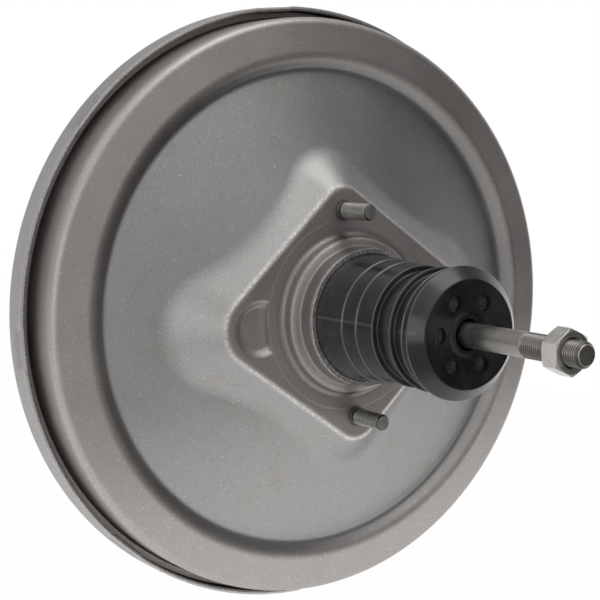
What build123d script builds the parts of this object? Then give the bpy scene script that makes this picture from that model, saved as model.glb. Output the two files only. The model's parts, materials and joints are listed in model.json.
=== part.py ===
from build123d import *
import math
import os

# Vacuum brake booster, single diaphragm, with a threaded pedal push rod.
# Millimetres. The origin is the centre of the mounting face, between the two firewall studs.
# +Y runs along the axis towards the master cylinder, -Y towards the brake pedal, +Z through the upper stud.

# ---------------------------------------------------------------- driving dimensions
# Rear shell: a pressed sheet dish with a side wall and an outward flange
rear_wall = 2.0
rear_radius = 140.4            # outside of the side wall
shoulder_y = 27.4              # where the rim band turns into the side wall
shoulder_bend = 4.5
flange_y = 55.0                # pedal-side face of the outward flange
flange_width = 4.7
rim_band_width = 17.9          # from the band's crest to the side wall
crest_y = 25.3
crest_bend = 6.0
valley_width = 6.0             # from the foot of the dish up to the band's crest
valley_y = 30.2
valley_bend = 4.0
dish_top_y = 1.2               # height of the dish where the neck's foot cuts it

# Neck: the stepped collar that the valve body slides through
neck_radius = 32.2
neck_length = 16.3
collar_radius = 36.9
collar_height = 5.6
collar_step = 2.0

# Mounting pad: a raised rhombus with rounded corners, pressed out of the dish
pad_side_distance = 49.7       # from the axis to each straight side
pad_angle = 39.5               # of the sides, from the X axis
pad_end_corner = 12.0          # corner radius by the studs
pad_flank_corner = 17.0        # corner radius by the dimples
pad_skirt_angle = 45.0
pad_skirt_depth = 26.0
pad_edge_bend = 1.6
dimple_pitch = 50.0            # from the axis to each dimple
dimple_radius = 13.2
dimple_floor_radius = 10.3
dimple_depth = 3.0

# Firewall studs
stud_circle = 99.4             # diameter of the circle through both studs
stud_radius = 3.97
stud_length = 22.0
stud_tip_chamfer = 0.8
stud_shoulder = 0.9            # step from the shank to the serrated shoulder pressed into the wall
stud_head_radius = 8.0
stud_head_height = 3.0

# Front shell: a deep bowl whose rim wraps the flange and the diaphragm's bead
front_wall = 2.0
rim_gap = 0.5                  # between the flange's edge and the rim's inside
rim_lip_length = 6.3           # of the rim behind the flange
rim_depth = 15.8
rim_bend = 3.5
rim_step = 8.6                 # from the rim's outside to the bowl's
bowl_front_radius = 112.0
bowl_bend = 22.0
face_y = 128.0                 # flat front of the bowl
pad_front_y = 133.0            # raised seat of the master cylinder
pad_front_radius = 62.0
pad_front_slope = 7.0
recess_radius = 21.5
recess_bend = 2.6
recess_depth = 22.0
rod_hole_radius = 13.5
lance_count = 8
lance_width = 17.0
lance_height = 3.0
lance_depth = 2.4

# Master cylinder studs
cylinder_stud_pitch = 82.6     # between the two studs
cylinder_stud_radius = 4.76
cylinder_stud_length = 27.0
cylinder_stud_head_radius = 8.5
cylinder_stud_head_height = 3.0
plate_wall = 2.5               # reinforcement plate behind the front face
plate_radius = 55.0

# Vacuum check valve
valve_pitch = 83.0             # from the axis
valve_angle = 128.0            # in the X-Z plane, from +X towards +Z
grommet_radius = 13.0
grommet_neck_radius = 10.0
grommet_bore = 7.0
grommet_flange = 3.0
check_stem_length = 13.0
check_flange_radius = 12.0
check_flange_height = 3.0
check_body_radius = 9.5
check_body_length = 16.0
nozzle_radius = 5.0
nozzle_bore = 3.2
nozzle_stop_radius = 6.8       # ring that stops the hose
nozzle_stop_width = 1.5
nozzle_length = 24.0           # free length beyond the body's side
disc_radius = 5.2
disc_thickness = 1.2
check_spring_wire = 0.6
check_spring_radius = 3.4
check_spring_turns = 4
check_seat_depth = 10.0        # disc's seat below the valve's flange
check_roof = 2.5
check_tip_chamfer = 2.0
nozzle_turn = -128.0           # direction of the nozzle about the valve's axis

# Valve body and the parts clamped to it
tail_radius = 22.4
tail_wall = 4.0
tail_length = 66.0             # from the mounting face to the tail's end
hub_y = 9.0                    # rear face of the hub flange
hub_thickness = 3.0
hub_radius = 38.0
boss_radius = 22.0
boss_length = 30.0             # from the hub flange's front to the boss's end
plunger_bore = 9.0
disc_bore = 15.0
reaction_thickness = 7.0
seat_radius = 12.5             # inside of the valve seat ring
seat_y = -2.0
seat_height = 1.2
seat_bore_depth = 6.0
passage_radius = 1.8
passage_pitch = 18.0           # from the axis

# Diaphragm and its support plate
diaphragm_wall = 2.0
hub_bead_depth = 4.4
bead_hub_radius = 25.0
hub_groove = 1.6
support_wall = 1.6
support_hub_radius = 46.0
support_clearance = 10.24      # from the valley to the plate's rim corner
loop_space = 12.0              # between the support plate's rim and the bowl's inside
support_rim_y = 52.0
loop_rise = 6.5
loop_bend = 2.6

# Output rod
output_radius = 6.0
output_head_height = 4.0
output_tip_y = 126.5
adjuster_radius = 4.0
adjuster_hex = 10.0
adjuster_hex_height = 4.0
adjuster_tip = 5.0             # from the hexagon to the domed tip
adjuster_shank_radius = 3.0
adjuster_shank_length = 12.0
retainer_wall = 1.2
retainer_skirt = 6.0           # length of the output rod's retainer over the boss
front_seal_overlap = 3.0       # of the seal behind the recess floor's edge
front_seal_height = 5.0
front_seal_back = 5.5          # width of the seal's back face

# Return spring
spring_wire = 3.4
spring_radius = 29.5           # of the wire's centre line
spring_turns = 6

# Pedal push rod and jam nut
rod_radius = 5.556             # over the thread, 7/16 in
rod_shank_radius = 5.45
rod_thread_start = 128.5       # distances from the mounting face, towards the pedal
rod_thread_end = 163.3
rod_tip_chamfer = 1.3
ball_radius = 6.5
ball_y = -6.0
ball_neck_radius = 4.0
ball_neck_length = 7.0
nut_across_flats = 17.46       # 11/16 in
nut_start = 146.1
nut_height = 9.1

# Valve plunger and poppet
plunger_nose_gap = 3.2
plunger_travel = 2.4
plunger_flange_radius = 10.6
plunger_groove_radius = 6.0
plunger_socket_radius = 8.6
socket_wrap = 4.0              # how far the socket closes behind the ball's centre
key_y = 20.5
key_thickness = 2.0
key_width = 19.0
key_reach = 26.0               # from the axis to the key's outer end
key_tail = 11.0                # from the axis to the ends of its two prongs
key_clearance = 0.4
poppet_wall = 1.8
poppet_length = 18.0
poppet_radius = 15.0
retainer_height = 2.0
retainer_bore = 9.5
poppet_spring_wire = 0.8
rod_spring_wire = 1.1
rod_spring_radius = 13.0
small_spring_turns = 5
rod_seat_radius = 15.5
rod_seat_height = 1.5
rod_bead_radius = 7.0
filter_inset = 1.5             # of the filter inside the tail's end
filter_length = 12.0
filter_gap = 5.0               # from the filter to the push rod's spring seat
filter_bore = 9.6
silencer_bore = 10.6
silencer_radius = 22.8

# Boot
boot_wall = 2.0
boot_bead = 2.4                # height of the bead gripped in the neck
boot_base_radius = 29.6
boot_ridges = [(35.0, 29.1), (44.8, 28.3), (56.6, 27.6), (69.8, 28.0), (79.3, 28.5)]
boot_ridge_step = 0.9
boot_fold_depth = 2.2
boot_front_radius = 29.7
boot_front_y = 84.6
boot_nose_radius = 23.9
boot_nose_y = 90.4
boot_face_recess = 1.4
vent_count = 6
vent_radius = 3.7
vent_pitch = 15.6
vent_first_angle = -6.0
rod_lip_radius = 8.6
rod_lip_height = 1.5

# Clearances
running_gap = 0.08             # sliding and turning fits
touch_gap = 0.3                # curved faces that must stay apart
soft_gap = 0.4                 # foam, rubber and springs beside their seats

# ---------------------------------------------------------------- derived places
flange_radius = rear_radius + flange_width
crest_radius = rear_radius - rim_band_width
valley_radius = crest_radius - valley_width
rim_inner_radius = flange_radius + rim_gap
rim_radius = rim_inner_radius + front_wall
rim_lip_y = flange_y - rim_lip_length
rim_shoulder_y = rim_lip_y + rim_depth
bowl_radius = rim_radius - rim_step
support_rim_radius = bowl_radius - front_wall - loop_space
neck_bore = neck_radius - rear_wall
recess_floor_y = pad_front_y - recess_depth
boss_end_y = hub_y + hub_thickness + boss_length
disc_y = boss_end_y - reaction_thickness - output_head_height
front_inner_y = pad_front_y - front_wall
plate_rear_y = front_inner_y - plate_wall
stud_pitch = stud_circle / 2
tail_bore = tail_radius - tail_wall
boot_face_y = -boot_nose_y + boot_face_recess
poppet_face_y = seat_y - seat_height
plunger_flange_y = poppet_face_y + 0.2
plunger_nose_y = disc_y - plunger_nose_gap
support_y = hub_y + hub_thickness
filter_y = -tail_length + filter_inset
rod_seat_y = filter_y + filter_length + filter_gap + rod_seat_height
check_base_y = face_y + grommet_flange
check_seat_y = check_base_y - check_seat_depth


# ---------------------------------------------------------------- shared shapes
def turned(*corners):
    """Solid of revolution about the booster's axis, from (radius, y) corners."""
    return revolve(make_face(Polyline(*corners, close=True)), Axis.Y)


def ring(outer, inner, start_y, end_y):
    """Plain ring about the axis; an inner radius of zero makes a disc."""
    return turned((inner, start_y), (outer, start_y), (outer, end_y), (inner, end_y))


def cylinder_y(radius, start_y, end_y, x=0.0, z=0.0):
    """Cylinder parallel to the booster's axis."""
    return Pos(x, 0, z) * ring(radius, 0, start_y, end_y)


def shifted_corners(corners, wall):
    """Corners of an open line, moved to its left by wall and mitred where it bends."""
    directions = []
    for first, second in zip(corners, corners[1:]):
        length = math.dist(first, second)
        directions.append(((second[0] - first[0]) / length, (second[1] - first[1]) / length))
    shifted = []
    for index, (radius, y) in enumerate(corners):
        before = directions[max(index - 1, 0)]
        after = directions[min(index, len(directions) - 1)]
        scale = wall / (1 + before[0] * after[0] + before[1] * after[1])
        shifted.append((radius - scale * (before[1] + after[1]), y + scale * (before[0] + after[0])))
    return shifted


def shifted_bends(corners, bends, wall):
    """Bend radii of the line that shifted_corners makes: smaller on left turns, larger on right turns."""
    result = []
    for before, corner, after, bend in zip(corners, corners[1:], corners[2:], bends):
        turn = (corner[0] - before[0]) * (after[1] - corner[1]) - (corner[1] - before[1]) * (after[0] - corner[0])
        result.append(max(bend - wall, 0.2) if turn > 0 else bend + wall)
    return result


def bent_line(corners, bends):
    """Open line with a rounded bend at each inner corner."""
    return FilletPolyline(*corners, radius=list(bends))


def sheet(corners, bends, wall):
    """Pressed sheet turned about the axis; the material lies to the left of the line."""
    outer_line = bent_line(corners, bends)
    inner_line = bent_line(shifted_corners(corners, wall), shifted_bends(corners, bends, wall))
    start = Line(outer_line @ 0, inner_line @ 0)
    end = Line(outer_line @ 1, inner_line @ 1)
    return revolve(make_face([*outer_line.edges(), *inner_line.edges(), start, end]), Axis.Y)


def filled(corners, bends, back_y):
    """Everything between a line and the axis, closed flat at back_y."""
    line = bent_line(corners, bends)
    first = line @ 0
    last = line @ 1
    closing = Polyline((first.X, first.Y), (0, first.Y), (0, back_y), (last.X, back_y), (last.X, last.Y))
    return revolve(make_face([*line.edges(), *closing.edges()]), Axis.Y)


def coil(radius, wire, start_y, end_y, turns):
    """Compression spring about the axis, from one seat to the other."""
    height = end_y - start_y - wire
    helix = Helix(pitch=height / turns, height=height, radius=radius)
    section = Plane(origin=helix @ 0, z_dir=helix % 0) * Circle(wire / 2)
    spring = sweep(section, path=helix)
    return Pos(0, start_y + wire / 2, 0) * Rot(-90, 0, 0) * spring


def stud(radius, length, face_y, direction, head_radius, head_height, wall, chamfer_size):
    """Headed stud: the head lies behind the wall, a wider shoulder fills its hole and the shank stands out of face_y."""
    tip = face_y + direction * length
    head_face = face_y - direction * wall
    head_back = head_face - direction * head_height
    return turned(
        (0, head_back),
        (head_radius, head_back),
        (head_radius, head_face),
        (radius + stud_shoulder, head_face),
        (radius + stud_shoulder, face_y),
        (radius, face_y),
        (radius, tip - direction * chamfer_size),
        (radius - chamfer_size, tip),
        (0, tip),
    )


def pad_outline(grow):
    """The mounting pad's rhombus, with every side moved outwards by grow."""
    side = pad_side_distance + grow
    angle = math.radians(pad_angle)
    half_width = side / math.sin(angle)
    half_height = side / math.cos(angle)
    corners = [(half_width, 0), (0, half_height), (-half_width, 0), (0, -half_height)]
    flank = pad_flank_corner + grow
    end = pad_end_corner + grow
    return make_face(FilletPolyline(*corners, radius=[flank, end, flank, end], close=True))


def pad_block(face_y, grow, edge_bend):
    """Raised pad with a sloping skirt, its face at face_y towards the pedal."""
    plane = Plane(origin=(0, face_y, 0), x_dir=(1, 0, 0), z_dir=(0, 1, 0))
    block = extrude(plane * pad_outline(grow), amount=pad_skirt_depth, taper=-pad_skirt_angle)
    face = block.faces().sort_by(Axis.Y)[0]
    return fillet(face.edges(), edge_bend)


def dimple(face_y, grow, x):
    """Shallow round depression in the pad."""
    floor_y = face_y + dimple_depth
    slope = (dimple_radius - dimple_floor_radius) / dimple_depth
    lead = 4.0
    return Pos(x, 0, 0) * turned(
        (0, face_y - lead),
        (dimple_radius + grow + slope * lead, face_y - lead),
        (dimple_floor_radius + grow, floor_y),
        (0, floor_y),
    )


# ---------------------------------------------------------------- housing
def rear_skin():
    """Corners and bends of the rear shell's pedal-side skin, from the neck's lip to the flange."""
    corners = [
        (neck_radius, -neck_length),
        (neck_radius + 0.8, -collar_height - collar_step),
        (collar_radius, -collar_height),
        (collar_radius + 1.4, dish_top_y),
        (valley_radius, valley_y),
        (crest_radius, crest_y),
        (rear_radius, shoulder_y),
        (rear_radius, flange_y),
        (flange_radius, flange_y),
    ]
    bends = [1.5, 2.6, 1.5, valley_bend, crest_bend, shoulder_bend, 1.2]
    return corners, bends


def rear_shell():
    corners, bends = rear_skin()
    shell = sheet(corners, bends, rear_wall)
    skirt_shift = rear_wall * (math.tan(math.radians(pad_skirt_angle)) - 1 / math.cos(math.radians(pad_skirt_angle)))
    outer_pad = pad_block(0, 0, pad_edge_bend)
    inner_pad = pad_block(rear_wall, skirt_shift, pad_edge_bend)
    for side in (-1, 1):
        outer_pad -= dimple(0, 0, side * dimple_pitch)
        inner_pad -= dimple(rear_wall, rear_wall / 2, side * dimple_pitch)
    inner_corners = shifted_corners(corners, rear_wall)
    dish_inside = filled(inner_corners, shifted_bends(corners, bends, rear_wall), flange_y + pad_skirt_depth)
    pressed_pad = outer_pad - inner_pad - dish_inside
    opening = cylinder_y(collar_radius - rear_wall, -neck_length, pad_skirt_depth)
    shell = (shell - inner_pad) + (pressed_pad - opening)
    for side in (-1, 1):
        shell -= cylinder_y(stud_radius + stud_shoulder + running_gap, -1, rear_wall + 1, z=side * stud_pitch)
    return shell


def firewall_studs():
    one = stud(stud_radius, stud_length, 0, -1, stud_head_radius, stud_head_height, rear_wall, stud_tip_chamfer)
    return Compound([Pos(0, 0, side * stud_pitch) * one for side in (-1, 1)])


def front_skin():
    """Corners and bends of the front shell's outer skin, from the recess floor out to the rim's lip."""
    corners = [
        (rod_hole_radius, recess_floor_y),
        (recess_radius, recess_floor_y),
        (recess_radius, pad_front_y),
        (pad_front_radius, pad_front_y),
        (pad_front_radius + pad_front_slope, face_y),
        (bowl_front_radius, face_y),
        (bowl_radius, rim_shoulder_y),
        (rim_radius, rim_shoulder_y),
        (rim_radius, rim_lip_y),
    ]
    bends = [recess_bend, recess_bend, 3.0, 3.0, bowl_bend, 1.5, rim_bend]
    return corners, bends


def lances():
    """Tabs pressed inwards from the rim, which hold the rear shell's flange against the bead."""
    reach = rim_inner_radius - lance_depth
    tab = Pos(rim_inner_radius - lance_depth / 2, flange_y - touch_gap - lance_height / 2, 0)
    block = tab * Box(lance_depth + front_wall, lance_height, lance_width)
    limit = ring(rim_inner_radius + front_wall / 2, reach, rim_lip_y, rim_shoulder_y)
    one = block & limit
    step = 360 / lance_count
    return [Rot(0, index * step, 0) * one for index in range(lance_count)]


def valve_place():
    """Location on the front shell's face where the check valve sits."""
    angle = math.radians(valve_angle)
    return Pos(valve_pitch * math.cos(angle), 0, valve_pitch * math.sin(angle))


def front_shell():
    corners, bends = front_skin()
    corners.reverse()
    bends.reverse()
    shell = sheet(corners, bends, front_wall)
    for tab in lances():
        shell += tab
    hole_radius = cylinder_stud_radius + stud_shoulder + running_gap
    for side in (-1, 1):
        shell -= cylinder_y(hole_radius, front_inner_y - 1, pad_front_y + 1, x=side * cylinder_stud_pitch / 2)
    shell -= valve_place() * ring(grommet_neck_radius, 0, face_y - 2 * front_wall, face_y + front_wall)
    return shell


def reinforcement_plate():
    """Plate behind the master cylinder's seat, which the studs pull against."""
    bore = recess_radius + 2 * front_wall + recess_bend + touch_gap
    plate = ring(plate_radius, bore, plate_rear_y, front_inner_y)
    hole_radius = cylinder_stud_radius + stud_shoulder + running_gap
    for side in (-1, 1):
        plate -= cylinder_y(hole_radius, plate_rear_y - 1, front_inner_y + 1, x=side * cylinder_stud_pitch / 2)
    return plate


def master_cylinder_studs():
    one = stud(
        cylinder_stud_radius,
        cylinder_stud_length,
        pad_front_y,
        1,
        cylinder_stud_head_radius,
        cylinder_stud_head_height,
        front_wall + plate_wall,
        stud_tip_chamfer,
    )
    return Compound([Pos(side * cylinder_stud_pitch / 2, 0, 0) * one for side in (-1, 1)])


def front_seal():
    """Rubber ring in the recess floor, which seals round the output rod."""
    floor_inner_y = recess_floor_y - front_wall
    lip = output_radius + running_gap
    return turned(
        (lip, floor_inner_y - front_seal_height),
        (lip + front_seal_back, floor_inner_y - front_seal_height),
        (rod_hole_radius + front_seal_overlap, floor_inner_y - 3.0),
        (rod_hole_radius + front_seal_overlap, floor_inner_y),
        (rod_hole_radius, floor_inner_y),
        (rod_hole_radius, recess_floor_y),
        (lip + 3.0, recess_floor_y),
        (lip + 3.0, floor_inner_y - 1.0),
        (lip, floor_inner_y - 1.0),
    )


def front_seal_retainer():
    """Steel cup that presses the front seal against the recess floor."""
    floor_inner_y = recess_floor_y - front_wall
    seal_radius = rod_hole_radius + front_seal_overlap
    cup_radius = recess_radius - front_wall - 0.5
    back_y = floor_inner_y - front_seal_height - 1.5
    return turned(
        (output_radius + 2.0, back_y),
        (seal_radius + 1.5, back_y),
        (seal_radius + 1.5, floor_inner_y - retainer_wall),
        (cup_radius, floor_inner_y - retainer_wall),
        (cup_radius, floor_inner_y),
        (seal_radius + 0.1, floor_inner_y),
        (seal_radius + 0.1, back_y + retainer_wall),
        (output_radius + 2.0, back_y + retainer_wall),
    )


def rear_seal():
    """Lipped rubber seal in the neck, running on the valve body's tail."""
    outer = neck_bore - touch_gap
    back_y = -neck_length + boot_bead + touch_gap / 2
    front_y = -collar_height - collar_step + 1.0
    return turned(
        (tail_radius + running_gap, back_y + 2.0),
        (tail_radius + 1.6, back_y),
        (tail_radius + 3.0, back_y + 1.5),
        (tail_radius + 3.0, front_y - 2.0),
        (outer - 2.0, front_y - 2.0),
        (outer - 2.0, back_y),
        (outer, back_y),
        (outer, front_y),
        (tail_radius + 1.2, front_y),
        (tail_radius + running_gap, back_y + 4.0),
    )


def rear_bearing():
    """Plastic guide ring for the tail, held in the collar in front of the seal."""
    back_y = -collar_height - collar_step + 1.0
    return turned(
        (tail_radius + running_gap, back_y),
        (neck_bore - touch_gap, back_y),
        (neck_bore - touch_gap, -collar_height + rear_wall),
        (collar_radius - rear_wall - touch_gap, -collar_height + rear_wall),
        (collar_radius - rear_wall - touch_gap, rear_wall),
        (tail_radius + running_gap, rear_wall),
    )


def boot():
    """Moulded dust boot: a base bead in the neck, sawtooth ribs with a deep fold, and a vented nose."""
    bead_radius = neck_bore - touch_gap
    outer = [(bead_radius, -neck_length + boot_bead), (bead_radius, -neck_length), (boot_base_radius, -neck_length - 0.8)]
    inner = [(boot_base_radius - boot_wall - 1.2, -neck_length + boot_bead)]
    for index, (distance, radius) in enumerate(boot_ridges):
        fold = boot_fold_depth if index in (2, 3) else 0.0
        outer.append((radius, -distance))
        outer.append((radius - boot_ridge_step - fold, -distance - boot_ridge_step))
        inner.append((radius - boot_wall - boot_ridge_step - fold / 2, -distance))
    outer.append((boot_front_radius, -boot_front_y))
    outer.append((boot_nose_radius, -boot_nose_y))
    outer.append((rod_lip_radius + 1.5, boot_face_y))
    outer.append((rod_lip_radius, boot_face_y - rod_lip_height))
    outer.append((rod_radius + touch_gap, boot_face_y - rod_lip_height))
    inner.append((boot_front_radius - boot_wall - 1.0, -boot_front_y + 1.0))
    inner.append((boot_nose_radius - 1.2, boot_face_y + boot_wall))
    inner.append((rod_radius + touch_gap, boot_face_y + boot_wall))
    inner.reverse()
    body = turned(*outer, *inner)
    for index in range(vent_count):
        angle = math.radians(vent_first_angle + index * 360 / vent_count)
        body -= cylinder_y(
            vent_radius,
            -boot_nose_y - 1,
            boot_face_y + boot_wall + 1,
            x=vent_pitch * math.cos(angle),
            z=vent_pitch * math.sin(angle),
        )
    return body


# ---------------------------------------------------------------- vacuum check valve
def check_grommet():
    inner_y = face_y - front_wall
    return valve_place() * turned(
        (grommet_bore, inner_y - grommet_flange),
        (grommet_radius, inner_y - grommet_flange),
        (grommet_radius, inner_y),
        (grommet_neck_radius, inner_y),
        (grommet_neck_radius, face_y),
        (grommet_radius, face_y),
        (grommet_radius, face_y + grommet_flange),
        (grommet_bore, face_y + grommet_flange),
    )


def check_valve():
    """Valve body turning in the grommet, with a side nozzle for the vacuum hose."""
    stem_y = check_base_y - check_stem_length
    body_y = check_base_y + check_flange_height + check_body_length
    stem_radius = grommet_bore - running_gap
    chamber_radius = disc_radius + touch_gap
    valve = turned(
        (stem_radius, stem_y),
        (stem_radius, check_base_y),
        (check_flange_radius, check_base_y),
        (check_flange_radius, check_base_y + check_flange_height),
        (check_body_radius, check_base_y + check_flange_height),
        (check_body_radius, body_y - check_tip_chamfer),
        (check_body_radius - check_tip_chamfer, body_y),
        (0, body_y),
        (0, body_y - check_roof),
        (chamber_radius, body_y - check_roof),
        (chamber_radius, check_seat_y),
        (nozzle_bore, check_seat_y),
        (nozzle_bore, stem_y),
    )
    nozzle_y = check_base_y + check_flange_height + check_body_length / 2
    reach = check_body_radius + nozzle_length
    pipe = Pos(0, nozzle_y, 0) * Rot(0, 90, 0) * Cylinder(
        nozzle_radius, reach, align=(Align.CENTER, Align.CENTER, Align.MIN)
    )
    pipe += Pos(0, nozzle_y, 0) * Rot(0, 90, 0) * Cylinder(
        nozzle_stop_radius, check_body_radius + nozzle_stop_width, align=(Align.CENTER, Align.CENTER, Align.MIN)
    )
    bore = Pos(chamber_radius - 1, nozzle_y, 0) * Rot(0, 90, 0) * Cylinder(
        nozzle_bore, reach, align=(Align.CENTER, Align.CENTER, Align.MIN)
    )
    chamber = ring(chamber_radius, 0, check_seat_y, body_y - check_roof)
    valve = (valve + (pipe - chamber)) - bore
    return valve_place() * Rot(0, nozzle_turn, 0) * valve


def check_disc():
    return valve_place() * ring(disc_radius, 0, check_seat_y, check_seat_y + disc_thickness)


def check_spring():
    end_y = check_base_y + check_flange_height + check_body_length - check_roof
    start_y = check_seat_y + disc_thickness
    return valve_place() * coil(check_spring_radius, check_spring_wire, start_y, end_y, check_spring_turns)


# ---------------------------------------------------------------- power piston
def valve_body():
    """Moulded hub and tail, with bores for the reaction disc, plunger, poppet and filters."""
    bead_radius = tail_radius - hub_groove
    body = turned(
        (tail_bore, -tail_length),
        (tail_radius, -tail_length),
        (tail_radius, hub_y - hub_bead_depth),
        (bead_radius, hub_y - hub_bead_depth),
        (bead_radius, hub_y),
        (hub_radius, hub_y),
        (hub_radius, support_y),
        (boss_radius, support_y),
        (boss_radius, boss_end_y),
        (disc_bore, boss_end_y),
        (disc_bore, disc_y),
        (plunger_bore, disc_y),
        (plunger_bore, seat_y + seat_bore_depth),
        (seat_radius, seat_y + seat_bore_depth),
        (seat_radius, seat_y - seat_height),
        (seat_radius + 1.5, seat_y - seat_height),
        (seat_radius + 1.5, seat_y),
        (tail_bore, seat_y),
    )
    slot_length = key_tail + key_clearance + boss_radius + 1
    slot_middle = (boss_radius + 1 - key_tail - key_clearance) / 2
    body -= Pos(slot_middle, key_y, 0) * Box(
        slot_length, key_thickness + 2 * key_clearance, key_width + 2 * key_clearance
    )
    for side in (-1, 1):
        body -= cylinder_y(passage_radius, seat_y - 1, boss_end_y + 1, z=side * passage_pitch)
    return body


def support_skin():
    """Corners and bends of the support plate's pedal-side skin, from the hub to the rim's edge."""
    corners = [
        (boss_radius + touch_gap, support_y),
        (support_hub_radius, support_y),
        (support_rim_radius, valley_y + support_clearance),
        (support_rim_radius, support_rim_y),
    ]
    bends = [6.0, 5.0]
    return corners, bends


def diaphragm_support():
    corners, bends = support_skin()
    return sheet(corners, bends, support_wall)


def diaphragm():
    """Rolling rubber diaphragm: hub bead, plate lining, rolled loop and the clamped outer bead."""
    corners, bends = support_skin()
    lining = shifted_corners(corners[1:], -diaphragm_wall - touch_gap)
    hub_edge = hub_radius + touch_gap + diaphragm_wall
    sheet_y = hub_y - diaphragm_wall
    loop_radius = lining[-1][0] + 2 * loop_bend
    bead_y = flange_y + rear_wall
    bead_middle_y = (bead_y + rim_shoulder_y - front_wall) / 2
    line = [
        (bead_hub_radius, sheet_y),
        (hub_edge, sheet_y),
        (hub_edge + 1.0, lining[0][1]),
        lining[0],
        lining[1],
        (lining[2][0], bead_middle_y + loop_rise),
        (loop_radius, bead_middle_y + loop_rise),
        (loop_radius, bead_middle_y - diaphragm_wall / 2),
        (rear_radius - rear_wall + 1.0, bead_middle_y - diaphragm_wall / 2),
    ]
    rubber = sheet(line, [2.2, 1.0, bends[0], bends[1], loop_bend, loop_bend, 3.0], diaphragm_wall)
    hub_bead = ring(bead_hub_radius + 1.0, tail_radius - hub_groove + running_gap, hub_y - hub_bead_depth, hub_y)
    bead_front_y = rim_shoulder_y - front_wall
    bead_radius = rim_inner_radius - touch_gap
    outer_bead = turned(
        (rear_radius - rear_wall + 0.5, bead_y),
        (bead_radius, bead_y),
        (bead_radius, bead_front_y - rim_bend),
        (bead_radius - rim_bend, bead_front_y),
        (rear_radius - rear_wall + 0.5, bead_front_y),
    )
    return rubber + hub_bead + outer_bead


def reaction_disc():
    return ring(disc_bore - touch_gap, 0, disc_y, disc_y + reaction_thickness)


def output_rod():
    """Rod with a wide head on the reaction disc and a drilled end for the adjusting screw."""
    head_y = disc_y + reaction_thickness
    end_y = output_tip_y - adjuster_tip - adjuster_hex_height
    return turned(
        (0, head_y),
        (disc_bore - touch_gap, head_y),
        (disc_bore - touch_gap, boss_end_y),
        (output_radius, boss_end_y),
        (output_radius, end_y),
        (adjuster_shank_radius, end_y),
        (adjuster_shank_radius, end_y - adjuster_shank_length),
        (0, end_y - adjuster_shank_length),
    )


def output_rod_adjuster():
    """Screw with a hexagon and a domed tip that meets the master cylinder's piston."""
    hex_y = output_tip_y - adjuster_tip - adjuster_hex_height
    plane = Plane(origin=(0, hex_y, 0), x_dir=(1, 0, 0), z_dir=(0, 1, 0))
    head = extrude(plane * RegularPolygon(adjuster_hex / 2, 6, major_radius=False), amount=adjuster_hex_height)
    shank = ring(adjuster_shank_radius, 0, hex_y - adjuster_shank_length, hex_y + 1)
    tip = turned(
        (0, hex_y + 1),
        (adjuster_radius, hex_y + 1),
        (adjuster_radius, output_tip_y - 1.6),
        (adjuster_radius - 1.6, output_tip_y),
        (0, output_tip_y),
    )
    return head + shank + tip


def output_rod_retainer():
    """Cap over the boss that keeps the output rod's head in its bore."""
    inner = boss_radius + touch_gap / 2
    return turned(
        (output_radius + 2.0, boss_end_y),
        (inner, boss_end_y),
        (inner, boss_end_y - retainer_skirt),
        (inner + retainer_wall, boss_end_y - retainer_skirt),
        (inner + retainer_wall, boss_end_y + retainer_wall),
        (output_radius + 2.0, boss_end_y + retainer_wall),
    )


def return_spring():
    return coil(spring_radius, spring_wire, support_y + support_wall, plate_rear_y, spring_turns)


def stop_key():
    """Forked plate through the hub's slot, straddling the plunger's groove."""
    length = key_reach + key_tail
    plate = Pos((key_reach - key_tail) / 2, key_y, 0) * Box(length, key_thickness, key_width)
    gap = 2 * (plunger_groove_radius + key_clearance)
    notch = Pos(-key_tail / 2 - 1, key_y, 0) * Box(key_tail + 2, key_thickness + 2, gap)
    return plate - notch - cylinder_y(gap / 2, key_y - key_thickness, key_y + key_thickness)


def poppet_valve():
    """Rubber valve: a seating face, a flexible tube and a clamped lip."""
    back_y = poppet_face_y - poppet_length
    face_bore = plunger_socket_radius + 0.8
    return turned(
        (face_bore, poppet_face_y),
        (poppet_radius, poppet_face_y),
        (poppet_radius, back_y + poppet_wall),
        (tail_bore - touch_gap, back_y + poppet_wall),
        (tail_bore - touch_gap, back_y),
        (poppet_radius - poppet_wall, back_y),
        (poppet_radius - poppet_wall, poppet_face_y - 2 * poppet_wall),
        (face_bore, poppet_face_y - poppet_wall),
    )


def poppet_retainer():
    """Stepped ring that clamps the poppet's lip and carries both small springs."""
    front_y = poppet_face_y - poppet_length
    inner = poppet_radius - poppet_wall - touch_gap
    return turned(
        (retainer_bore, front_y - retainer_height),
        (tail_bore - running_gap, front_y - retainer_height),
        (tail_bore - running_gap, front_y),
        (inner, front_y),
        (inner, front_y + 2.0),
        (inner - retainer_wall, front_y + 2.0),
        (inner - retainer_wall, front_y),
        (retainer_bore, front_y),
    )


def poppet_spring():
    start_y = poppet_face_y - poppet_length
    end_y = poppet_face_y - 2 * poppet_wall
    radius = poppet_radius - poppet_wall - touch_gap - retainer_wall - poppet_spring_wire
    return coil(radius, poppet_spring_wire, start_y, end_y, small_spring_turns)


def push_rod_spring():
    end_y = poppet_face_y - poppet_length - retainer_height
    return coil(rod_spring_radius, rod_spring_wire, rod_seat_y, end_y, small_spring_turns)


def air_filter():
    return ring(tail_bore - touch_gap, filter_bore, filter_y, filter_y + filter_length)


def air_silencer():
    """Foam ring in the boot's nose, between the tail's end and the vented face."""
    return ring(silencer_radius, silencer_bore, boot_face_y + boot_wall + soft_gap, -tail_length)


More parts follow.
